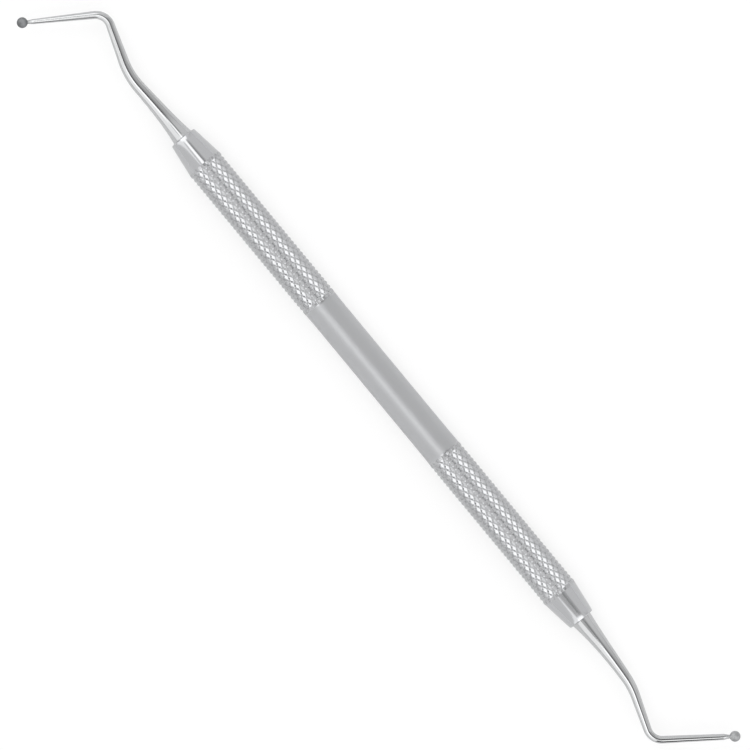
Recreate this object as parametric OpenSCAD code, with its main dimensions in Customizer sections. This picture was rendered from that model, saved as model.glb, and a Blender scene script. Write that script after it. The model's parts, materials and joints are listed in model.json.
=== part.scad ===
// Double-ended dental spoon excavator: a knurled bar handle with a bent, disc-ended tip set in each end.
// The tool lies on a table: the handle runs along X, both tips bend in one level plane, Z = 0 is the table.
// Lengths are in millimetres and angles in degrees.

/* [Handle bar] */
// Length from end face to end face
handle_length = 102.5; // [90:0.5:120]
// Diameter over the knurled stretches
grip_d = 6.3; // [5.8:0.1:8]
// How far the smooth waist is turned down below the grip, on the radius
waist_cut = 0.15; // [0.05:0.01:0.3]
// Length of the parallel smooth waist
waist_length = 26.2; // [16:0.2:36]
// Length of the soft slope from the waist up to the grip diameter
waist_slope = 6.1; // [4:0.1:9]
// Length of the plain cone at each end
nose_length = 5.5; // [3:0.1:8]
// Half-angle of the end cone
nose_angle = 7.6; // [4:0.2:9]
// Radius on the outer edge of each end face
edge_round = 0.2; // [0.05:0.05:0.35]

/* [Knurl] */
// Plain length between the waist and the first row of diamonds
knurl_gap = 2.9; // [1:0.1:3.5]
// Length of one diamond along the handle
knurl_pitch = 1.555; // [1.3:0.05:2.4]
// Diamonds round the handle
knurl_count = 18; // [14:1:22]
// Depth of the grooves between the diamonds
knurl_depth = 0.2; // [0.1:0.01:0.26]
// How far rolling raises the tops of the diamonds above the plain bar
knurl_rise = 0.06; // [0.01:0.01:0.08]
// Length over which the grooves run out at each end of a knurled stretch
knurl_runout = 0.2; // [0.15:0.05:0.5]

/* [Tip seats] */
// Diameter of the round tang that is pressed into the handle
tang_d = 3.6; // [3.2:0.05:3.9]
// Depth of the blind socket and length of the tang in it
tang_length = 10; // [8:0.5:18]
// Clearance between tang and socket, on the radius
seat_clearance = 0.02; // [0.01:0.01:0.04]

/* [Left tip] */
// Slight lean of the first run, away from the hook where negative
left_lean = 2.5; // [-6:0.5:6]
// First run, from the handle's mouth to the first bend
left_first_run = 10.9; // [9:0.1:14]
// Angle of the first bend, away from the hook
left_first_bend = 22; // [12:0.5:30]
// Middle run, between the two bends
left_middle_run = 6.4; // [4:0.1:9]
// Angle of the second bend, which turns the arm across
left_second_bend = 76; // [60:0.5:90]
// Diameter that the long taper would have at the mouth without its flare
left_taper_d = 2.5; // [1.6:0.05:2.8]
// Diameter of the arm just before the neck
left_arm_d = 0.85; // [0.7:0.05:1.1]
// Length over which the flare at the mouth dies away
left_flare = 3.7; // [2.5:0.1:8]

/* [Right tip] */
// Slight lean of the first run, away from the hook where negative
right_lean = -4.5; // [-6:0.5:6]
// First run, from the handle's mouth to the first bend
right_first_run = 12; // [9:0.1:14]
// Angle of the first bend, away from the hook
right_first_bend = 15.5; // [12:0.5:30]
// Middle run, between the two bends
right_middle_run = 5.8; // [4:0.1:9]
// Angle of the second bend, which turns the arm across
right_second_bend = 73; // [60:0.5:90]
// Diameter that the long taper would have at the mouth without its flare
right_taper_d = 1.7; // [1.6:0.05:2.8]
// Diameter of the arm just before the neck
right_arm_d = 1.0; // [0.7:0.05:1.1]
// Length over which the flare at the mouth dies away
right_flare = 7; // [2.5:0.1:8]

/* [Both tips] */
// Radius of the first bend, on the centre line
first_bend_r = 13; // [9:0.1:18]
// Radius of the second bend, on the centre line
second_bend_r = 2.5; // [2:0.05:4]
// Straight arm, from the second bend to the middle of the spoon
arm_run = 11.9; // [9:0.1:15]

/* [Spoons] */
// Diameter of each disc-shaped spoon
spoon_d = 1.78; // [1.4:0.02:2.4]
// Height of the sharp rim above the arm's centre line
rim_rise = 0.2; // [0.1:0.02:0.3]
// Depth of the hollow face below the rim
dish_depth = 0.28; // [0.15:0.01:0.35]
// Depth of the round back below the rim
back_depth = 0.62; // [0.5:0.02:0.8]
// Width and thickness of the neck that carries the spoon
neck_d = 0.6; // [0.45:0.01:0.7]
// Length over which the arm narrows to the neck
neck_length = 1.1; // [0.6:0.1:2]

/* [Hidden] */

$fn = 96;
half_length = handle_length / 2;
grip_r = grip_d / 2;
plain_r = grip_r - knurl_rise;
waist_r = grip_r - waist_cut;
waist_end = waist_length / 2;
slope_end = waist_end + waist_slope;
nose_start = half_length - nose_length;
mouth_r = plain_r - nose_length * tan(nose_angle);
socket_r = tang_d / 2 + seat_clearance;

// The knurl stands as two staggered rows of pyramids for each diamond in the count
knurl_start = waist_end + knurl_gap;
knurl_end = nose_start;
rows_round = 2 * knurl_count;
half_pitches = floor(2 * (knurl_end - knurl_start - 2 * knurl_runout) / knurl_pitch);
lattice_length = half_pitches * knurl_pitch / 2;
lattice_start = (knurl_start + knurl_end - lattice_length) / 2;
// A hair's breadth keeps the knurl and the tapers clear of the turned surfaces they run into
hair = 0.02;
// The bar is turned down to here under the knurl, well below its grooves
core_r = waist_r - 2 * knurl_depth;

// The handle lies on the tops of two neighbouring rows of diamonds
axis_height = grip_r * cos(180 / rows_round);

slope_steps = 6;
edge_steps = 4;
tip_sides = 24;

function ease(t) = t * t * (3 - 2 * t);
function mix(a, b, t) = a + (b - a) * t;

// Outer radius of the bar before it is knurled, at a distance x from its middle
function bar_r(x) =
    x <= waist_end ? waist_r :
    x < slope_end ? mix(waist_r, plain_r, ease((x - waist_end) / waist_slope)) :
    x <= nose_start ? plain_r :
    plain_r - (x - nose_start) * tan(nose_angle);

// Half of the bar's outline, as [radius, distance from the middle], from the waist out to the mouth
slope_outline = [
    for (i = [0 : slope_steps])
        let (x = mix(waist_end, slope_end, i / slope_steps))
        if (x < knurl_start) [bar_r(x), x]
];
edge_outline = [
    for (i = [0 : edge_steps])
        let (a = mix(nose_angle, 90, i / edge_steps))
        [mouth_r - edge_round * (1 - cos(a)) / cos(nose_angle),
         half_length - edge_round * (1 - sin(a)) / cos(nose_angle)]
];
half_outline = concat(
    slope_outline,
    [[bar_r(knurl_start), knurl_start], [core_r, knurl_start], [core_r, knurl_end], [plain_r, knurl_end]],
    edge_outline,
    [[0, half_length]]
);
far_half_outline = [for (i = [len(half_outline) - 1 : -1 : 0]) [half_outline[i][0], -half_outline[i][1]]];

module turned_bar() {
    rotate([0, 90, 0])
        rotate_extrude()
            polygon(concat(far_half_outline, half_outline));
}

// Faces of a skin over rings of equal size, two triangles a patch. The patches' diagonals are turned
// by pick: 0 sets them all one way, 1 sets them in turn
function skin_faces(rings, sides, pick) =
    [for (j = [0 : rings - 2], k = [0 : sides - 1])
        let (a = j * sides + k, b = j * sides + (k + 1) % sides)
        each pick * (j + k) % 2 == 0 ? [[a, a + sides, b], [b, a + sides, b + sides]]
                                     : [[a, b + sides, b], [a, a + sides, b + sides]]];
function first_cap(sides) = [for (k = [0 : sides - 1]) k];
function last_cap(rings, sides) = [for (k = [sides - 1 : -1 : 0]) (rings - 1) * sides + k];

// Columns of points along the bar, each as [distance, height of its tops, height of its pits]. Tops and
// pits take turns along and round the bar, so each top is the point of one pyramid
knurl_columns = concat(
    [[knurl_start - hair, -2 * hair, -2 * hair]],
    [for (j = [0 : half_pitches]) [lattice_start + j * knurl_pitch / 2, knurl_rise, knurl_rise - knurl_depth]],
    [[knurl_end + hair, -2 * hair, -2 * hair]]
);

module knurl() {
    points = [
        for (j = [0 : len(knurl_columns) - 1], k = [0 : rows_round - 1])
            let (
                x = knurl_columns[j][0],
                r = bar_r(x) + knurl_columns[j][1 + (j + k) % 2],
                a = (k + 0.5) * 360 / rows_round
            )
            [x, r * sin(a), -r * cos(a)]
    ];
    rings = len(knurl_columns);
    faces = concat([first_cap(rows_round)], skin_faces(rings, rows_round, 1), [last_cap(rings, rows_round)]);
    polyhedron(points, faces, convexity = 6);
}

module socket() {
    translate([half_length - tang_length, 0, 0])
        rotate([0, 90, 0])
            cylinder(h = tang_length + 1, r = socket_r);
}

module handle() {
    color("#b2b4b5")
        translate([0, 0, axis_height])
            difference() {
                union() {
                    turned_bar();
                    knurl();
                    rotate([0, 0, 180])
                        knurl();
                }
                socket();
                rotate([0, 0, 180])
                    socket();
            }
}

// A pose is [x, y, heading] in the plane of the bends. A move goes on along a line or an arc.
function move(pose, run, turn) =
    abs(turn) < 0.01
        ? [pose[0] + run * cos(pose[2]), pose[1] + run * sin(pose[2]), pose[2]]
        : let (r = run * 180 / (PI * turn), h = pose[2])
          [pose[0] + r * (sin(h + turn) - sin(h)), pose[1] - r * (cos(h + turn) - cos(h)), h + turn];

function arc_run(r, turn) = r * turn * PI / 180;

// Poses along a route of [run, turn, steps] legs, each as [pose, distance gone]
function stations(legs, pose = [0, 0, 0], gone = 0, k = 0) =
    k == len(legs) ? [] :
    let (run = legs[k][0], turn = legs[k][1], steps = legs[k][2])
    concat(
        [for (i = [1 : steps]) [move(pose, run * i / steps, turn * i / steps), gone + run * i / steps]],
        stations(legs, move(pose, run, turn), gone + run, k + 1)
    );

// Radius of the shank at a distance s from the mouth: a long taper with a flare that dies away
function shank_r(s, length, taper_d, arm_d, flare) =
    min(tang_d - hair, mix(taper_d, arm_d, s / length) + (tang_d - taper_d) * exp(-s / flare)) / 2;

function round_section(r) = [for (k = [0 : tip_sides - 1]) let (a = 360 * k / tip_sides) r * [cos(a), sin(a)]];

// Section through the spoon at a distance u from its middle along the arm: hollow above, round below,
// with the neck faired into the back
spoon_r = spoon_d / 2;
neck_join = sqrt(spoon_r * spoon_r - neck_d * neck_d / 4);
function spoon_section(u) =
    let (w = sqrt(max(0, spoon_r * spoon_r - u * u)))
    [for (k = [0 : tip_sides - 1])
        let (
            a = 360 * k / tip_sides,
            y = w * cos(a),
            rho2 = min(1, (u * u + y * y) / (spoon_r * spoon_r)),
            face = rim_rise - dish_depth * (1 - rho2),
            back = rim_rise - back_depth * sqrt(1 - rho2),
            across = min(1, abs(2 * y / neck_d)),
            fade = ease(max(0, -u / neck_join)),
            ridge = -fade * neck_d / 2 * sqrt(1 - across * across)
        )
        [y, sin(a) > 0.001 ? face : sin(a) < -0.001 ? min(back, ridge) : rim_rise]
    ];

neck_steps = 4;
spoon_steps = 12;
// Angle, seen from the spoon's middle, at which the neck meets the rim
join_angle = asin(neck_d / spoon_d);

module tip(lean, first_run, first_bend, middle_run, second_bend, taper_d, arm_d, flare) {
    first_arc = arc_run(first_bend_r, first_bend);
    second_arc = arc_run(second_bend_r, second_bend);
    plain_arm = arm_run - neck_join - neck_length;
    shank_length = first_run + first_arc + middle_run + second_arc + plain_arm;
    near_run = first_run / 3;
    legs = [
        [near_run, lean / 3, 5],
        [first_run - near_run, lean * 2 / 3, 4],
        [first_arc, -first_bend, 6],
        [middle_run, 0, 2],
        [second_arc, second_bend, 10],
        [plain_arm, 0, 3]
    ];
    shank = concat([[[-near_run / 4, 0, 0], -near_run / 4]], stations(legs));
    arm_end = shank[len(shank) - 1][0];
    spoon_middle = move(arm_end, neck_length + neck_join, 0);
    arm_r = arm_d / 2;

    // Each ring is [pose, section]
    rings = concat(
        [for (s = shank) [s[0], round_section(shank_r(s[1], shank_length, taper_d, arm_d, flare))]],
        [for (i = [1 : neck_steps])
            let (t = i / neck_steps, past = t * (neck_length - hair))
            [move(arm_end, past, 0),
             round_section(mix(shank_r(shank_length, shank_length, taper_d, arm_d, flare), neck_d / 2, ease(t)))]],
        [for (i = [0 : spoon_steps - 1])
            let (u = -spoon_r * cos(mix(join_angle, 180, i / spoon_steps)))
            [move(spoon_middle, u, 0), spoon_section(u)]]
    );
    points = concat(
        [for (r = rings, v = r[1])
            [r[0][0] - v[0] * sin(r[0][2]), r[0][1] + v[0] * cos(r[0][2]), v[1]]],
        [let (p = move(spoon_middle, spoon_r, 0)) [p[0], p[1], rim_rise]]
    );
    last_ring = (len(rings) - 1) * tip_sides;
    point = len(points) - 1;
    faces = concat(
        [first_cap(tip_sides)],
        skin_faces(len(rings), tip_sides, 0),
        [for (k = [0 : tip_sides - 1]) [last_ring + k, point, last_ring + (k + 1) % tip_sides]]
    );
    color("#c8cacb")
        union() {
            translate([-tang_length, 0, 0])
                rotate([0, 90, 0])
                    cylinder(h = tang_length, d = tang_d);
            polyhedron(points, faces, convexity = 6);
        }
}

// The left spoon shows its hollow face upwards, the right one its round back
module left_tip() {
    translate([-half_length, 0, axis_height])
        rotate([0, 0, 180])
            tip(left_lean, left_first_run, left_first_bend, left_middle_run, left_second_bend,
                left_taper_d, left_arm_d, left_flare);
}

module right_tip() {
    translate([half_length, 0, axis_height])
        mirror([0, 0, 1])
            tip(right_lean, right_first_run, right_first_bend, right_middle_run, right_second_bend,
                right_taper_d, right_arm_d, right_flare);
}

handle();
left_tip();
right_tip();
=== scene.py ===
"""A double-ended dental spoon excavator, dressed on its packed construction and set on a pale floor."""
import itertools
import json
import math

import bmesh
import bpy
from bpy.props import FloatProperty, FloatVectorProperty, IntProperty, PointerProperty
from bpy.types import Operator, Panel, PropertyGroup
from mathutils import Matrix, Vector


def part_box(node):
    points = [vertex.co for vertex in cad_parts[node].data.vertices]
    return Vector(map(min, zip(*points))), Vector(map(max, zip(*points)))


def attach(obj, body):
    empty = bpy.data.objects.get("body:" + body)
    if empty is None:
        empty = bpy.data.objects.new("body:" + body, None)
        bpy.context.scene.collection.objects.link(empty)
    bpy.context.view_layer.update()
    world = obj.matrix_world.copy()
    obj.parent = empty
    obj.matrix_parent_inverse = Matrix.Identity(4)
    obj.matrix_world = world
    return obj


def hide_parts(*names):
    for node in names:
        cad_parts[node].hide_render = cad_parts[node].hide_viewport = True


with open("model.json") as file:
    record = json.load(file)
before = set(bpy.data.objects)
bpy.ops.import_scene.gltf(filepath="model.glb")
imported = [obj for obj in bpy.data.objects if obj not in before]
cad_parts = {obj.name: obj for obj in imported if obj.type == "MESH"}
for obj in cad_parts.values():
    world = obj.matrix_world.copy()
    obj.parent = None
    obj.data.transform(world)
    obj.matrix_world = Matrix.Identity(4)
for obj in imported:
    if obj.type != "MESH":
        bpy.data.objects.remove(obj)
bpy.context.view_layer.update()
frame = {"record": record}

bl_info = {
    "name": "Spoon Excavator",
    "version": (1, 0, 0),
    "blender": (4, 5, 0),
    "location": "View3D > Sidebar > Excavator",
    "description": "Knurled bar handle with a bent, disc-ended tip in each end",
    "category": "Mesh",
}

MM = 0.001
MICRON = 1e-6
UP = Vector((0, 0, 1))
WHITE = (1.0, 1.0, 1.0, 1.0)

WAIST = next(mount for mount in frame["record"]["mounts"] if mount["name"] == "waist_grip")
AXIS_HEIGHT = WAIST["pos_m"][2]
WAIST_R = WAIST["dims"]["r_mm"] * MM
WAIST_END = WAIST["dims"]["length_mm"] * MM / 2
HALF_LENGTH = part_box("handle")[1][0]


def length(name, description, default):
    """A length that a user may change, in metres."""
    return FloatProperty(
        name=name, description=description, default=default, subtype="DISTANCE", unit="LENGTH", precision=6
    )


def angle(name, description, degrees):
    """An angle that a user may change."""
    return FloatProperty(
        name=name, description=description, default=math.radians(degrees), subtype="ANGLE", unit="ROTATION"
    )


def share(name, description, default):
    """A number from 0 to 1 that a user may change."""
    return FloatProperty(name=name, description=description, default=default, min=0, max=1, subtype="FACTOR")


def level(name, description, default):
    """A brightness that a user may change, where 1 is white."""
    return FloatProperty(name=name, description=description, default=default, min=0)


def colour(name, description, default):
    """A colour that a user may change."""
    return FloatVectorProperty(
        name=name, description=description, default=default, size=3, subtype="COLOR", min=0, max=1
    )


class HandleSizes(PropertyGroup):
    """The turned bar."""

    waist_cut: length("Waist Cut", "How far the waist lies below the grip, on the radius", 0.15 * MM)
    slope: length("Waist Slope", "Length of the soft slope from the waist to the grip", 6.1 * MM)
    nose: length("Nose Length", "Length of the plain cone at each end", 5.5 * MM)
    nose_angle: angle("Nose Angle", "Half-angle of the end cone", 7.6)
    edge_round: length("Edge Round", "Radius on the outer edge of each end face", 0.2 * MM)
    mouth_break: length("Mouth Break", "Broken edge at the mouth of each socket", 0.03 * MM)


class KnurlSizes(PropertyGroup):
    """The diamonds that are rolled into the bar."""

    gap: length("Gap", "Plain length between the waist and the first diamonds", 2.9 * MM)
    pitch: length("Pitch", "Length of one diamond along the handle", 1.555 * MM)
    count: IntProperty(name="Count", description="Diamonds round the handle", default=18, min=3)
    depth: length("Depth", "Depth of the grooves", 0.25 * MM)
    rise: length("Rise", "How far the diamonds stand proud of the plain bar", 0.06 * MM)
    runout: length("Run-out", "Length over which the grooves run out at each end", 0.2 * MM)


class SeatSizes(PropertyGroup):
    """The sockets and the tangs in them."""

    tang_r: length("Tang Radius", "Radius of the tang that is pressed into the handle", 1.8 * MM)
    depth: length("Seat Depth", "Depth of the socket and length of the tang", 10 * MM)
    clearance: length("Clearance", "Clearance between tang and socket, on the radius", 0.02 * MM)


def tip_sizes(lean, first_run, first_bend, middle_run, second_bend, taper_r, arm_r, flare):
    """The sizes of one bent tip, with that tip's own defaults, in millimetres and degrees."""
    return {
        "lean": angle("Lean", "Slight lean of the first run", lean),
        "first_run": length("First Run", "From the mouth to the first bend", first_run * MM),
        "first_bend": angle("First Bend", "Bend away from the hook", first_bend),
        "middle_run": length("Middle Run", "Between the two bends", middle_run * MM),
        "second_bend": angle("Second Bend", "Bend that turns the arm across", second_bend),
        "taper_r": length(
            "Taper Radius", "Radius of the long taper at the mouth, without its flare", taper_r * MM
        ),
        "arm_r": length("Arm Radius", "Radius of the arm before its neck", arm_r * MM),
        "flare": length("Flare", "Length over which the flare at the mouth dies away", flare * MM),
    }


class LeftTipSizes(PropertyGroup):
    """The tip whose hollow face looks up."""

    __annotations__ = tip_sizes(2.5, 10.9, 22, 6.4, 76, 1.25, 0.425, 3.7)


class RightTipSizes(PropertyGroup):
    """The tip whose round back looks up."""

    __annotations__ = tip_sizes(-4.5, 12, 15.5, 5.8, 73, 0.85, 0.5, 7)


class SpoonSizes(PropertyGroup):
    """What the two tips share: their bend radii, arm, neck and disc-shaped spoon."""

    first_bend_r: length("First Bend Radius", "On the centre line", 13 * MM)
    second_bend_r: length("Second Bend Radius", "On the centre line", 2.5 * MM)
    arm_run: length("Arm Run", "From the second bend to the middle of the spoon", 11.9 * MM)
    spoon_r: length("Spoon Radius", "Radius of the disc", 0.89 * MM)
    rim_rise: length("Rim Rise", "Height of the rim above the arm's centre line", 0.2 * MM)
    dish: length("Dish Depth", "Depth of the hollow face below the rim", 0.28 * MM)
    back: length("Back Depth", "Depth of the round back below the rim", 0.62 * MM)
    neck_r: length("Neck Radius", "Half the width of the neck", 0.3 * MM)
    neck: length("Neck Length", "Length over which the arm narrows to the neck", 1.1 * MM)


class Finishes(PropertyGroup):
    """Colours and polish of the steel, with painted shade where the grooves cross and on the hollow face."""

    satin: colour("Satin Steel", "Reflected colour of the turned handle", (0.467, 0.472, 0.482))
    satin_rough: share("Satin Roughness", "Roughness of the waist", 0.46)
    bright_rough: share("Bright Roughness", "Roughness of the knurl", 0.24)
    nose_rough: share("Nose Roughness", "Roughness of the plain cones", 0.13)
    # Groove Shade is painted shade: the steel's colour is darkened where the grooves cross, in the knurl's
    # pits
    groove: share("Groove Shade", "How much of the steel's colour is left where the grooves cross", 0.84)
    polished: colour("Polished Steel", "Reflected colour of the tips", (0.47, 0.475, 0.48))
    polished_rough: share("Polished Roughness", "Roughness of the tips", 0.1)
    # Hollow Face is painted shade: a darker copy of the spoon's ground steel for its concave face
    hollow: colour("Hollow Face", "Reflected colour of the ground hollow face", (0.15, 0.155, 0.16))
    back: colour("Spoon Back", "Reflected colour of the spoon's round back", (0.35, 0.355, 0.36))
    ground_rough: share("Ground Roughness", "Roughness of the ground spoon", 0.45)


class StageLook(PropertyGroup):
    """Camera, light and floor."""

    distance: length("Camera Distance", "From the handle's axis to the camera", 1.0)
    pixel: length("Pixel", "Size of one pixel of the photograph at the handle's axis", 0.164 * MM)
    slant: angle("Slant", "How far below level the handle runs across the photograph", 50.38)
    softbox: level("Softbox", "Brightness of the long box light", 2.35)
    strip: level("Dark Strip", "Brightness of the dark strip beside the box light", 0.12)
    near_side: level("Near Side", "Brightness beyond the box light", 1.03)
    far_side: level("Far Side", "Brightness beyond the dark strip", 0.7)
    corner: level("Dark Corner", "Brightness low on the near side, beyond both ends", 0.05)
    card: level("Side Cards", "Brightness of the small cards beside the tips", 0.6)
    floor: colour("Floor", "Colour of the floor", (0.9, 0.9, 0.9))
    floor_glow: share("Floor Glow", "Share of the floor's colour that the camera sees as plain white", 0.7)


class Wire:
    """An output of a node. Arithmetic on wires adds Math nodes to their tree."""

    def __init__(self, graph, socket):
        self.graph = graph
        self.socket = socket

    def math(self, operation, *others):
        """One Math node with this wire first."""
        values = dict(enumerate((self, *others)))
        return self.graph.add("ShaderNodeMath", {"operation": operation}, values)

    def separate(self):
        """The first part of a vector; the others are its outputs 1 and 2."""
        return self.graph.add("ShaderNodeSeparateXYZ", {}, {0: self})

    def of(self, output):
        """Another output of the same node."""
        return Wire(self.graph, self.socket.node.outputs[output])

    def __add__(self, other):
        return self.math("ADD", other)

    __radd__ = __add__

    def __sub__(self, other):
        return self.math("SUBTRACT", other)

    def __rsub__(self, other):
        return self.graph.add("ShaderNodeMath", {"operation": "SUBTRACT"}, {0: other, 1: self})

    def __mul__(self, other):
        return self.math("MULTIPLY", other)

    __rmul__ = __mul__

    def __truediv__(self, other):
        return self.math("DIVIDE", other)

    def __rtruediv__(self, other):
        return self.graph.add("ShaderNodeMath", {"operation": "DIVIDE"}, {0: other, 1: self})

    def __neg__(self):
        return self * -1

    def __mod__(self, other):
        return self.math("MODULO", other)


class Graph:
    """Adds nodes to one node tree."""

    def __init__(self, tree):
        self.tree = tree

    def add(self, kind, settings=None, inputs=None):
        """One node: its settings first, then the values or links of its sockets. Gives its first output."""
        node = self.tree.nodes.new(kind)
        for name, value in (settings or {}).items():
            setattr(node, name, value)
        for key, value in (inputs or {}).items():
            values = value if isinstance(value, list) else [value]
            for item in values:
                if isinstance(item, Wire):
                    self.tree.links.new(item.socket, node.inputs[key])
                else:
                    node.inputs[key].default_value = item
        return Wire(self, node.outputs[0]) if node.outputs else None

    def ease(self, value, low, high, at_low=0.0, at_high=1.0):
        """A soft step from one level to another as a value goes from low to high."""
        return self.add(
            "ShaderNodeMapRange",
            {"interpolation_type": "SMOOTHSTEP"},
            {"Value": value, "From Min": low, "From Max": high, "To Min": at_low, "To Max": at_high},
        )

    def fade(self, value, low, high):
        """A soft step down from 1 to 0 as a value goes from low to high."""
        return self.ease(value, low, high, 1.0, 0.0)

    def mix(self, amount, first, second):
        """A colour between two colours."""
        mixed = self.add("ShaderNodeMix", {"data_type": "RGBA"}, {0: amount, 6: first, 7: second})
        return mixed.of(2)

    def noise(self, vector, scale, detail):
        """Soft noise from 0 to 1."""
        return self.add(
            "ShaderNodeTexNoise", {}, {"Vector": vector, "Scale": scale, "Detail": detail, "Roughness": 0.5}
        )

    def stretched(self, across):
        """Object coordinates with the directions across the handle scaled by a factor."""
        place = self.add("ShaderNodeTexCoord").of("Object")
        return self.add(
            "ShaderNodeVectorMath", {"operation": "MULTIPLY"}, {0: place, 1: (1.0, across, across)}
        )

    def attribute(self, name):
        """A number stored on the mesh."""
        return self.add("ShaderNodeAttribute", {"attribute_name": name}).of("Fac")


def rgba(rgb):
    """A colour with full alpha."""
    return (*rgb, 1.0)


def new_material(name):
    """A material with only its output, and the graph of its tree."""
    material = bpy.data.materials.new(name)
    material.use_nodes = True
    material.node_tree.nodes.clear()
    return material, Graph(material.node_tree)


def finish_material(graph, base, roughness, normal):
    """Steel: a metallic surface with its colour, roughness and bump."""
    shader = graph.add(
        "ShaderNodeBsdfPrincipled",
        {},
        {"Base Color": base, "Metallic": 1.0, "Roughness": roughness, "Normal": normal},
    )
    graph.add("ShaderNodeOutputMaterial", {}, {"Surface": shader})


def satin_steel(finish, bar):
    """Turned steel: fine rings, a roughness each for waist, knurl and cones, and painted shade at groove
    crossings.
    """
    cloud_shade, ring_rough = 0.94, 0.06
    waist_fade, knurl_fade = 0.4 * MM, 0.2 * MM
    material, graph = new_material("satin_steel")
    rings = graph.noise(graph.stretched(0.01), 9000.0, 3.0)
    cloud = graph.noise(graph.stretched(1.0), 120.0, 2.0)
    crossing = graph.attribute("crossing")
    steel = graph.mix(cloud, rgba(finish.satin), rgba([cloud_shade * c for c in finish.satin]))
    # Painted shade: the steel's colour is darkened where the grooves cross, in the pits of the knurl
    painted_crossing_shade = rgba([finish.groove * c for c in finish.satin])
    base = graph.mix(graph.ease(crossing, 0.6, 0.95), steel, painted_crossing_shade)
    way_out = graph.stretched(1.0).separate().math("ABSOLUTE")
    bright = graph.ease(way_out, bar.knurl_start - waist_fade, bar.knurl_start)
    nose = graph.ease(way_out, bar.nose_start - knurl_fade, bar.nose_start)
    matt = finish.satin_rough + bright * (finish.bright_rough - finish.satin_rough)
    matt = matt + nose * (finish.nose_rough - finish.bright_rough)
    roughness = matt - ring_rough / 2 + ring_rough * rings
    bump = graph.add("ShaderNodeBump", {}, {"Strength": 0.25, "Distance": 2 * MICRON, "Height": rings})
    finish_material(graph, base, roughness, bump)
    return material


def polished_steel(finish):
    """Polished steel with faint marks across the shank, and a ground, duller spoon with painted shade on its
    hollow face.
    """
    mark_rough, grain_rough, mark_height = 0.02, 0.12, 0.15
    material, graph = new_material("polished_steel")
    along = graph.attribute("along")
    spoon = graph.attribute("spoon")
    hollow = graph.attribute("hollow")
    lines = graph.add("ShaderNodeCombineXYZ", {}, {"X": along, "Y": 0.0, "Z": 0.0})
    marks = graph.noise(lines, 5000.0, 3.0)
    grain = graph.noise(graph.stretched(1.0), 14000.0, 2.0)
    shank = rgba(finish.polished)
    # The hollow face is painted darker than the back, darkest at its rim: painted shade of the concave face
    ground = graph.mix(hollow, rgba(finish.back), rgba(finish.hollow))
    base = graph.mix(spoon, shank, ground)
    shank_rough = finish.polished_rough + mark_rough * marks
    ground_rough = finish.ground_rough + grain_rough * grain
    roughness = shank_rough * (1 - spoon) + ground_rough * spoon
    height = marks * (1 - spoon) * mark_height + grain * spoon
    bump = graph.add("ShaderNodeBump", {}, {"Strength": 0.3, "Distance": 3 * MICRON, "Height": height})
    finish_material(graph, base, roughness, bump)
    return material


def floor_material(look):
    """Pale matt floor that the camera sees nearly white, with the object's shadow kept."""
    material, graph = new_material("pale_floor")
    matt = graph.add("ShaderNodeBsdfDiffuse", {}, {"Color": rgba(look.floor)})
    glow = graph.add("ShaderNodeEmission", {}, {"Color": WHITE, "Strength": 1.0})
    seen = graph.add("ShaderNodeLightPath").of("Is Camera Ray")
    mixed = graph.add("ShaderNodeMixShader", {}, {0: seen * look.floor_glow, 1: matt, 2: glow})
    graph.add("ShaderNodeOutputMaterial", {}, {"Surface": mixed})
    return material


# Faces that meet at a larger angle than this keep a hard edge between them
HARD_ANGLE = math.radians(65)


def keep_mesh(bm, name, material):
    """Closes a piece: welds it, turns its faces out, marks its hard edges and makes its object."""
    bmesh.ops.remove_doubles(bm, verts=bm.verts, dist=MICRON)
    bmesh.ops.recalc_face_normals(bm, faces=bm.faces)
    for edge in bm.edges:
        if len(edge.link_faces) != 2:
            raise RuntimeError(f"{name} isn't closed")
        edge.smooth = edge.calc_face_angle() < HARD_ANGLE
    mesh = bpy.data.meshes.new(name)
    bm.to_mesh(mesh)
    bm.free()
    mesh.materials.clear()
    mesh.materials.append(material)
    piece = bpy.data.objects.new(name, mesh)
    bpy.context.scene.collection.objects.link(piece)
    return piece


def dress(piece, node):
    """Declares a piece: what it rides on and the solid that it stands for."""
    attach(piece, "root")
    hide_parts(node)


def ease(t):
    """A soft step from 0 to 1."""
    return t * t * (3 - 2 * t)


def mix(a, b, t):
    """A value between two values."""
    return a + (b - a) * t


# The places between a diamond's middle and its groove at which its skin has points. Its flat sides lie
# between the second and the third, and the shading rounds its top and its groove over the other two
OUT = (0.0, 0.2, 0.8, 1.0)
SIDE = [(1 + out) / 2 for out in [-step for step in reversed(OUT)] + list(OUT[1:])]


class Bar:
    """The turned bar's radius along its length, and where its stretches start and end."""

    def __init__(self, handle, knurl):
        self.plain_r = WAIST_R + handle.waist_cut - knurl.rise
        self.slope_end = WAIST_END + handle.slope
        self.nose_start = HALF_LENGTH - handle.nose
        self.nose_slope = math.tan(handle.nose_angle)
        self.knurl_start = WAIST_END + knurl.gap
        self.knurl_end = self.nose_start
        room = self.knurl_end - self.knurl_start - 2 * knurl.runout
        self.half_pitches = math.floor(2 * room / knurl.pitch)
        lattice = self.half_pitches * knurl.pitch / 2
        self.lattice_start = (self.knurl_start + self.knurl_end - lattice) / 2
        self.lattice_end = self.lattice_start + lattice
        self.rows = 2 * knurl.count

    def radius(self, x):
        """Radius of the plain bar at a distance from its middle."""
        if x <= WAIST_END:
            return WAIST_R
        if x < self.slope_end:
            return mix(WAIST_R, self.plain_r, ease((x - WAIST_END) / (self.slope_end - WAIST_END)))
        return self.plain_r - max(0.0, x - self.nose_start) * self.nose_slope

    def angles(self):
        """Angles round the bar at which the diamonds' corners fall, where the knurl runs out."""
        return [(k + 0.5 + out) * math.tau / self.rows for k in range(self.rows) for out in OUT[:-1]]


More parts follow.
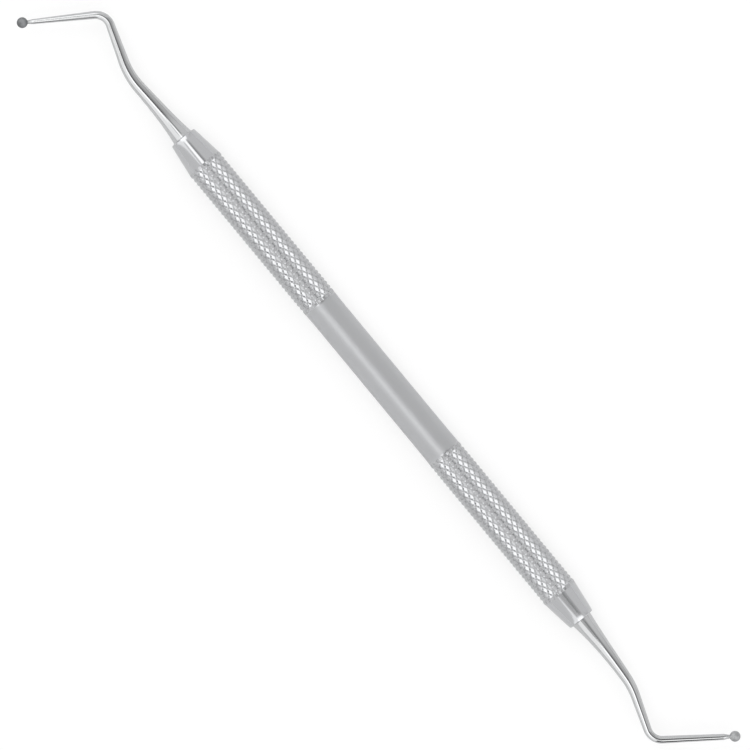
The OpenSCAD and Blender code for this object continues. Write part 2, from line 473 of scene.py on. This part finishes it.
def diamond_mesh(bar, knurl):
    """One diamond, laid flat: along the bar, round it as an angle, and down into the groove.

    Each lozenge is cut in two across the bar, so that the lattice can end on a column of diamond tops.
    """
    bm = bmesh.new()
    crossing = bm.verts.layers.float.new("crossing")
    row = math.tau / bar.rows
    verts = {}
    for i, j in itertools.product(range(len(SIDE)), repeat=2):
        u, v = SIDE[i], SIDE[j]
        deep = 2 * max(abs(u - 0.5), abs(v - 0.5))
        verts[i, j] = bm.verts.new(((u + v - 1) * knurl.pitch / 2, (u - v) * row, -deep * knurl.depth))
        # How near this point lies to where the grooves cross, 1 there: the mask of the satin steel's painted
        # shade
        verts[i, j][crossing] = (2 + math.cos(math.tau * u) + math.cos(math.tau * v)) / 4
    for i, j in itertools.product(range(len(SIDE) - 1), repeat=2):
        across = [verts[i + 1, j], verts[i, j + 1]]
        bm.faces.new([verts[i, j], *across])
        bm.faces.new([verts[i + 1, j + 1], *reversed(across)])
    mesh = bpy.data.meshes.new("diamond")
    bm.to_mesh(mesh)
    bm.free()
    return mesh


KNURL_INPUTS = {
    "Pitch": "NodeSocketFloat",
    "Count": "NodeSocketInt",
    "Half Pitches": "NodeSocketInt",
    "Rise": "NodeSocketFloat",
    "Lattice Start": "NodeSocketFloat",
    "Lattice End": "NodeSocketFloat",
    "Knurl Start": "NodeSocketFloat",
    "Knurl End": "NodeSocketFloat",
    "Waist End": "NodeSocketFloat",
    "Slope End": "NodeSocketFloat",
    "Waist Radius": "NodeSocketFloat",
    "Plain Radius": "NodeSocketFloat",
    "Axis Height": "NodeSocketFloat",
    "Material": "NodeSocketMaterial",
}


def knurl_tree():
    """Geometry Nodes that set one diamond in a staggered lattice and roll the lattice round the bar."""
    tree = bpy.data.node_groups.new("diamond_knurl", "GeometryNodeTree")
    tree.interface.new_socket(name="Geometry", in_out="INPUT", socket_type="NodeSocketGeometry")
    for name, kind in KNURL_INPUTS.items():
        tree.interface.new_socket(name=name, in_out="INPUT", socket_type=kind)
    tree.interface.new_socket(name="Geometry", in_out="OUTPUT", socket_type="NodeSocketGeometry")
    graph = Graph(tree)
    given = graph.add("NodeGroupInput")
    size = given.of
    row = math.pi / size("Count")

    def place():
        parts = graph.add("GeometryNodeInputPosition").separate()
        return parts, parts.of(1), parts.of(2)

    def vector(x, y, z):
        return graph.add("ShaderNodeCombineXYZ", {}, {0: x, 1: y, 2: z})

    def compare(a, operation, b):
        return graph.add("FunctionNodeCompare", {"operation": operation}, {0: a, 1: b})

    columns = size("Half Pitches") + 1
    grid = graph.add(
        "GeometryNodeMeshGrid",
        {},
        {
            "Size X": size("Half Pitches") * size("Pitch") / 2,
            "Size Y": (size("Count") - 1) * row * 2,
            "Vertices X": columns,
            "Vertices Y": size("Count"),
        },
    )
    column = (graph.add("GeometryNodeInputIndex") / size("Count")).math("FLOOR")
    middle = (size("Lattice Start") + size("Lattice End")) / 2
    stagger = (column % 2) * row
    x, turn, _ = place()
    spread = vector(x + middle, turn + size("Count") * row - row / 2 + stagger, 0.0)
    points = graph.add("GeometryNodeSetPosition", {}, {"Geometry": grid, "Position": spread})
    diamonds = graph.add("GeometryNodeInstanceOnPoints", {}, {"Points": points, "Instance": given})
    skin = graph.add("GeometryNodeRealizeInstances", {}, {"Geometry": diamonds})
    x, turn, z = place()
    for operation, edge in (("LESS_THAN", "Lattice Start"), ("GREATER_THAN", "Lattice End")):
        skin = graph.add(
            "GeometryNodeDeleteGeometry",
            {"domain": "FACE"},
            {"Geometry": skin, "Selection": compare(x, operation, size(edge))},
        )
    for lattice_edge, edge in (("Lattice Start", "Knurl Start"), ("Lattice End", "Knurl End")):
        apart = (x - size(lattice_edge)).math("ABSOLUTE")
        border = compare(apart, "LESS_THAN", MICRON)
        skin = graph.add(
            "GeometryNodeExtrudeMesh",
            {"mode": "EDGES"},
            {"Mesh": skin, "Selection": border, "Offset": vector(0.0, 0.0, 0.0), "Offset Scale": 0.0},
        )
        foot = vector(size(edge), turn, -size("Rise"))
        skin = graph.add(
            "GeometryNodeSetPosition", {}, {"Geometry": skin, "Selection": skin.of("Top"), "Position": foot}
        )
    plain = graph.ease(x, size("Waist End"), size("Slope End"), size("Waist Radius"), size("Plain Radius"))
    radius = plain + size("Rise") + z
    rolled = vector(x, radius * turn.math("SINE"), size("Axis Height") - radius * turn.math("COSINE"))
    right = graph.add("GeometryNodeSetPosition", {}, {"Geometry": skin, "Position": rolled})
    left = graph.add("GeometryNodeTransform", {}, {"Geometry": right, "Rotation": (0.0, 0.0, math.pi)})
    both = graph.add("GeometryNodeJoinGeometry", {}, {"Geometry": [right, left]})
    whole = graph.add("GeometryNodeRealizeInstances", {}, {"Geometry": both})
    dressed = graph.add(
        "GeometryNodeSetMaterial", {}, {"Geometry": whole, "Material": size("Material")}
    )
    graph.add("NodeGroupOutput", {}, {0: dressed})
    return tree


def knurled_sleeves(bar, knurl, material):
    """The two knurled stretches as one open mesh."""
    sleeve = bpy.data.objects.new("sleeve", diamond_mesh(bar, knurl))
    bpy.context.scene.collection.objects.link(sleeve)
    tree = knurl_tree()
    modifier = sleeve.modifiers.new("knurl", "NODES")
    modifier.node_group = tree
    values = {
        "Pitch": knurl.pitch,
        "Count": knurl.count,
        "Half Pitches": bar.half_pitches,
        "Rise": knurl.rise,
        "Lattice Start": bar.lattice_start,
        "Lattice End": bar.lattice_end,
        "Knurl Start": bar.knurl_start,
        "Knurl End": bar.knurl_end,
        "Waist End": WAIST_END,
        "Slope End": bar.slope_end,
        "Waist Radius": WAIST_R,
        "Plain Radius": bar.plain_r,
        "Axis Height": AXIS_HEIGHT,
        "Material": material,
    }
    for item in tree.interface.items_tree:
        if item.in_out == "INPUT" and item.name in values:
            modifier[item.identifier] = values[item.name]
    graph = bpy.context.evaluated_depsgraph_get()
    mesh = bpy.data.meshes.new_from_object(sleeve.evaluated_get(graph))
    bpy.data.objects.remove(sleeve)
    return mesh


def join_rings(bm, rings, sides):
    """Adds the faces between each ring of points and the next. A ring of one point is a pole."""
    for near, far in zip(rings, rings[1:]):
        for k in range(sides):
            following = (k + 1) % sides
            places = ((near, k), (near, following), (far, following), (far, k))
            corners = [ring[j % len(ring)] for ring, j in places]
            bm.faces.new(list(dict.fromkeys(corners))).smooth = True


def add_turned(bm, outline, angles):
    """Adds a turned band: one ring for each point of its outline, and a pole where the radius is 0."""
    rings = []
    for x, r in outline:
        around = angles if r else angles[:1]
        rings.append([bm.verts.new((x, r * math.sin(a), AXIS_HEIGHT - r * math.cos(a))) for a in around])
    join_rings(bm, rings, len(angles))


def steps(low, high, count):
    """Evenly spaced values from low to high, both included."""
    return [mix(low, high, i / count) for i in range(count + 1)]


# Steps along each plain stretch of the bar, and round the lip of each end face
BAND_STEPS = 8
LIP_STEPS = 6


def nose_outline(bar, handle, seat):
    """From the knurl over the end cone and its rounded lip into the socket."""
    slope = handle.nose_angle
    mouth_r = bar.radius(HALF_LENGTH)
    blend = handle.edge_round / math.cos(slope)
    lip = [
        (HALF_LENGTH - blend * (1 - math.sin(a)), mouth_r - blend * (1 - math.cos(a)))
        for a in steps(slope, math.pi / 2, LIP_STEPS)
    ]
    cone = [(x, bar.radius(x)) for x in steps(bar.knurl_end, lip[0][0], BAND_STEPS)[:-1]]
    socket_r = seat.tang_r + seat.clearance
    bottom = HALF_LENGTH - seat.depth
    socket = [
        (HALF_LENGTH, socket_r + handle.mouth_break),
        (HALF_LENGTH - handle.mouth_break, socket_r),
        (bottom, socket_r),
        (bottom, 0.0),
    ]
    return cone + lip + socket


def turned_handle(sizes):
    """The whole handle: knurled stretches, waist with its slopes, and the two noses with their sockets."""
    bar = Bar(sizes.handle, sizes.knurl)
    material = satin_steel(sizes.finish, bar)
    bm = bmesh.new()
    bm.from_mesh(knurled_sleeves(bar, sizes.knurl, material))
    angles = bar.angles()
    slope = [(x, bar.radius(x)) for x in steps(bar.knurl_start, WAIST_END, BAND_STEPS)]
    waist = [(x, WAIST_R) for x in steps(WAIST_END, -WAIST_END, BAND_STEPS)[1:-1]]
    add_turned(bm, slope + waist + [(-x, r) for x, r in reversed(slope)], angles)
    nose = nose_outline(bar, sizes.handle, sizes.seat)
    add_turned(bm, nose, angles)
    add_turned(bm, [(-x, r) for x, r in nose], angles)
    return keep_mesh(bm, "knurled_handle", material)


def move(pose, run, turn):
    """A pose, as x, y and heading, moved on along a line or an arc."""
    x, y, heading = pose
    if abs(turn) < MICRON:
        return (x + run * math.cos(heading), y + run * math.sin(heading), heading)
    r = run / turn
    after = heading + turn
    x += r * (math.sin(after) - math.sin(heading))
    y -= r * (math.cos(after) - math.cos(heading))
    return (x, y, after)


# Points round each section of a tip, and steps along its neck and its spoon
TIP_SIDES = 64
NECK_STEPS = 12
SPOON_STEPS = 40
# How much of the hollow face's painted shade is gone at the bottom of the hollow, so that it is darkest at
# the rim
HOLLOW_SHADE_FADE = 0.4


def round_section(r):
    """A circle across the shank, as places across it and up."""
    return [(r * math.cos(a), r * math.sin(a)) for a in steps(0, math.tau, TIP_SIDES)[:-1]]


def spoon_section(u, join, spoon):
    """A section through the spoon: hollow above, round below, with the neck faired into its back."""
    half = math.sqrt(max(0.0, spoon.spoon_r ** 2 - u * u))
    section = []
    for k in range(TIP_SIDES):
        a = math.tau * k / TIP_SIDES
        y = half * math.cos(a)
        inside = 1 - min(1.0, (u * u + y * y) / spoon.spoon_r ** 2)
        face = spoon.rim_rise - spoon.dish * inside
        back = spoon.rim_rise - spoon.back * math.sqrt(inside)
        across = min(1.0, abs(y) / spoon.neck_r)
        ridge = -ease(max(0.0, -u / join)) * spoon.neck_r * math.sqrt(1 - across * across)
        if k in (0, TIP_SIDES // 2):
            up = spoon.rim_rise
        elif k < TIP_SIDES / 2:
            up = face
        else:
            up = min(back, ridge)
        section.append((y, up))
    return section


def tip_rings(tip, spoon, seat):
    """Rings from the tang to the far edge of the spoon: pose, section, distance along and spoon share."""
    hair = 0.02 * MM
    join = math.sqrt(spoon.spoon_r ** 2 - spoon.neck_r ** 2)
    first_arc = spoon.first_bend_r * tip.first_bend
    second_arc = spoon.second_bend_r * tip.second_bend
    arm = spoon.arm_run - join - spoon.neck
    near_run = tip.first_run / 3
    whole = tip.first_run + first_arc + tip.middle_run + second_arc + arm

    def shank_r(s):
        taper = mix(tip.taper_r, tip.arm_r, s / whole)
        return min(seat.tang_r - hair / 2, taper + (seat.tang_r - tip.taper_r) * math.exp(-s / tip.flare))

    legs = (
        (near_run, tip.lean / 3, 20),
        (tip.first_run - near_run, tip.lean * 2 / 3, 24),
        (first_arc, -tip.first_bend, 24),
        (tip.middle_run, 0.0, 12),
        (second_arc, tip.second_bend, 40),
        (arm, 0.0, 16),
    )
    rings = [((x, 0.0, 0.0), round_section(seat.tang_r), 0.0, 0.0) for x in (-seat.depth, -0.5 * MM, 0.0)]
    pose, gone = (0.0, 0.0, 0.0), 0.0
    for run, turn, count in legs:
        for t in steps(0, 1, count)[1:]:
            s = gone + run * t
            rings.append((move(pose, run * t, turn * t), round_section(shank_r(s)), s, 0.0))
        pose, gone = move(pose, run, turn), gone + run
    for t in steps(0, 1, NECK_STEPS)[1:]:
        past = t * (spoon.neck - hair)
        section = round_section(mix(shank_r(whole), spoon.neck_r, ease(t)))
        rings.append((move(pose, past, 0), section, gone + past, t))
    middle = move(pose, spoon.neck + join, 0)
    first = math.asin(spoon.neck_r / spoon.spoon_r)
    for a in steps(first, math.pi, SPOON_STEPS)[:-1]:
        u = -spoon.spoon_r * math.cos(a)
        section = spoon_section(u, join, spoon)
        rings.append((move(middle, u, 0), section, gone + spoon.neck + join + u, 1.0))
    return rings, move(middle, spoon.spoon_r, 0)


def add_tip(name, tip, sizes, material, end, hollow_up):
    """One tip: the tang, the bent and tapered shank, the neck and the spoon, placed in the handle's end."""
    spoon = sizes.spoon
    rings, point = tip_rings(tip, spoon, sizes.seat)
    side = 1 if hollow_up else -1

    def placed(x, y, z):
        return (end * (HALF_LENGTH + x), end * y, AXIS_HEIGHT + side * z)

    bm = bmesh.new()
    layers = {key: bm.verts.layers.float.new(key) for key in ("along", "spoon", "hollow")}
    circles = []
    for (x, y, heading), section, s, ground in rings:
        circle = []
        for k, (across, up) in enumerate(section):
            vert = bm.verts.new(placed(x - across * math.sin(heading), y + across * math.cos(heading), up))
            vert[layers["along"]] = s
            vert[layers["spoon"]] = ground
            # The hollow face's points carry its painted shade, full at the rim and fading towards the bottom
            if ground == 1.0 and 0 < k < TIP_SIDES / 2:
                vert[layers["hollow"]] = 1 - HOLLOW_SHADE_FADE * (spoon.rim_rise - up) / spoon.dish
            circle.append(vert)
        circles.append(circle)
    root = bm.verts.new(placed(-sizes.seat.depth, 0, 0))
    nose = bm.verts.new(placed(point[0], point[1], spoon.rim_rise))
    nose[layers["spoon"]] = 1.0
    join_rings(bm, [[root]] + circles + [[nose]], TIP_SIDES)
    return keep_mesh(bm, name, material)


class TurnHandle(Operator):
    """Turn the bar handle and roll its diamond knurl"""

    bl_idname = "excavator.turn_handle"
    bl_label = "Turn Handle"

    def execute(self, context):
        dress(turned_handle(context.scene.excavator), "handle")
        return {"FINISHED"}


class FormTips(Operator):
    """Form the bent, tapered tip with its spoon at each end"""

    bl_idname = "excavator.form_tips"
    bl_label = "Form Tips"

    def execute(self, context):
        sizes = context.scene.excavator
        material = polished_steel(sizes.finish)
        left = add_tip("left_spoon_tip", sizes.left, sizes, material, -1, True)
        dress(left, "left_tip")
        right = add_tip("right_spoon_tip", sizes.right, sizes, material, 1, False)
        dress(right, "right_tip")
        return {"FINISHED"}


# Where the handle's middle lies in the photograph of 750 by 750 pixels
PHOTO_SIZE = 750
HANDLE_PIXEL = (381.65, 377.93)


def set_camera(look, right, upward):
    """A camera straight above the tool, turned so that the handle slants as in the photograph."""
    sensor = 36.0
    camera_data = bpy.data.cameras.new("camera")
    camera_data.sensor_width = sensor
    camera_data.lens = sensor * look.distance / (look.pixel * PHOTO_SIZE)
    camera_data.clip_end = 20
    camera = bpy.data.objects.new("camera", camera_data)
    bpy.context.scene.collection.objects.link(camera)
    half = (PHOTO_SIZE - 1) / 2
    shift_right = (HANDLE_PIXEL[0] - half) * look.pixel
    shift_down = (HANDLE_PIXEL[1] - half) * look.pixel
    centre = UP * AXIS_HEIGHT - right * shift_right + upward * shift_down
    turn = Matrix((right, upward, UP)).transposed().to_4x4()
    camera.matrix_world = Matrix.Translation(centre + UP * look.distance) @ turn
    bpy.context.scene.camera = camera


def set_world(look):
    """A studio round the tool, as fields of light by direction, and a white backdrop for the camera."""
    world = bpy.data.worlds.new("studio")
    bpy.context.scene.world = world
    world.use_nodes = True
    world.node_tree.nodes.clear()
    graph = Graph(world.node_tree)
    direction = graph.add("ShaderNodeTexCoord").of("Generated")
    along = direction.separate()
    across = along.of(1)
    reach = along.math("ABSOLUTE")
    beyond = graph.ease(reach, 0.38, 0.46)
    box = graph.fade(across.math("ABSOLUTE") + reach * 0.3 - beyond * 0.1, 0.38, 0.5)
    box = box * graph.fade(reach, 0.75, 0.88)
    shade = graph.ease(across, -0.09, -0.06) * graph.fade(reach - across * 0.25, 0.16, 0.24)
    strip = shade * graph.fade(across, 0.14, 0.24)
    ends = graph.ease(reach, 0.18, 0.23) * graph.fade(reach, 0.32, 0.4)
    left = graph.fade(along, -0.1, 0.1)
    streak = ends * left * graph.ease(across, -0.2, -0.12) * graph.fade(across, 0.05, 0.09)
    line = ends * graph.ease(across, 0.05, 0.09) * graph.fade(across, 0.26, 0.4)
    dull = ends * (1 - left) * graph.ease(across, -0.34, -0.26) * graph.fade(across, 0.4, 0.6)
    corner = graph.ease(reach, 0.52, 0.58) * graph.fade(across, -0.45, -0.35)

    plain = look.near_side * (1 + 0.06 * beyond)
    far = graph.ease(across, 0.1, 0.9, look.far_side - 0.4, look.far_side + 0.1)
    dull_level, line_level = 0.7, look.strip + 0.3
    level_here = plain + box * (look.softbox - plain)
    for mask, level_there in (
        (corner, look.corner),
        (shade, far),
        (strip, look.strip),
        (ends, plain),
        (streak, look.softbox),
        (dull, dull_level),
        (line, line_level),
    ):
        level_here = level_here + mask * (level_there - level_here)
    studio = graph.add("ShaderNodeBackground", {}, {"Color": WHITE, "Strength": level_here})
    white = graph.add("ShaderNodeBackground", {}, {"Color": WHITE, "Strength": 1.0})
    seen = graph.add("ShaderNodeLightPath").of("Is Camera Ray")
    mixed = graph.add("ShaderNodeMixShader", {}, {0: seen, 1: studio, 2: white})
    graph.add("ShaderNodeOutputWorld", {}, {"Surface": mixed})


def set_cards(look):
    """A small white card stands beside each tip, on the photograph's lower left side of the tool."""
    wide, high, apart, lift, near = 27 * MM, 32 * MM, 14 * MM, 8 * MM, 56 * MM
    for name, end in (("left_card", -1), ("right_card", 1)):
        light = bpy.data.lights.new(name, "AREA")
        light.shape = "RECTANGLE"
        light.size = wide
        light.size_y = high
        light.energy = look.card * math.pi * wide * high
        card = bpy.data.objects.new(name, light)
        card.location = (end * (near + wide / 2), -apart, lift + high / 2)
        card.rotation_euler = (math.radians(90), 0, 0)
        card.visible_camera = False
        card.visible_diffuse = False
        bpy.context.scene.collection.objects.link(card)


def set_floor(look):
    """A wide pale floor under the tool."""
    half = 3.0
    mesh = bpy.data.meshes.new("floor")
    corners = [(half * x, half * y, 0) for x, y in ((-1, -1), (1, -1), (1, 1), (-1, 1))]
    mesh.from_pydata(corners, [], [(0, 1, 2, 3)])
    mesh.materials.append(floor_material(look))
    floor = bpy.data.objects.new("floor", mesh)
    bpy.context.scene.collection.objects.link(floor)


class SetStage(Operator):
    """Set the camera, the studio light and the pale floor"""

    bl_idname = "excavator.set_stage"
    bl_label = "Set Stage"

    def execute(self, context):
        look = context.scene.excavator.stage
        right = Vector((math.cos(look.slant), math.sin(look.slant), 0))
        upward = UP.cross(right)
        set_camera(look, right, upward)
        set_world(look)
        set_cards(look)
        set_floor(look)
        context.scene.view_settings.view_transform = "Standard"
        return {"FINISHED"}


class ExcavatorPanel(Panel):
    """The tool's steps and the sizes and colours that a user would change."""

    bl_idname = "VIEW3D_PT_excavator"
    bl_label = "Spoon Excavator"
    bl_space_type = "VIEW_3D"
    bl_region_type = "UI"
    bl_category = "Excavator"

    def draw(self, context):
        for step in STEPS:
            self.layout.operator(step.bl_idname)
        sizes = context.scene.excavator
        for group in GROUPS:
            box = self.layout.box()
            box.label(text=group.capitalize())
            for name in GROUPS[group].__annotations__:
                box.prop(getattr(sizes, group), name)


GROUPS = {
    "handle": HandleSizes,
    "knurl": KnurlSizes,
    "seat": SeatSizes,
    "left": LeftTipSizes,
    "right": RightTipSizes,
    "spoon": SpoonSizes,
    "finish": Finishes,
    "stage": StageLook,
}


class Excavator(PropertyGroup):
    """All sizes and colours of the tool and its stage."""

    __annotations__ = {name: PointerProperty(type=group) for name, group in GROUPS.items()}


STEPS = (TurnHandle, FormTips, SetStage)
CLASSES = (*GROUPS.values(), Excavator, *STEPS, ExcavatorPanel)


def register():
    """Registers the classes and hangs the sizes on the scene."""
    for cls in CLASSES:
        bpy.utils.register_class(cls)
    bpy.types.Scene.excavator = PointerProperty(type=Excavator)


def unregister():
    """Takes it all back."""
    del bpy.types.Scene.excavator
    for cls in reversed(CLASSES):
        bpy.utils.unregister_class(cls)


def main():
    """Makes the tool and its stage."""
    register()
    bpy.ops.excavator.turn_handle()
    bpy.ops.excavator.form_tips()
    bpy.ops.excavator.set_stage()
    bpy.context.view_layer.update()


if __name__ == "__main__":
    main()
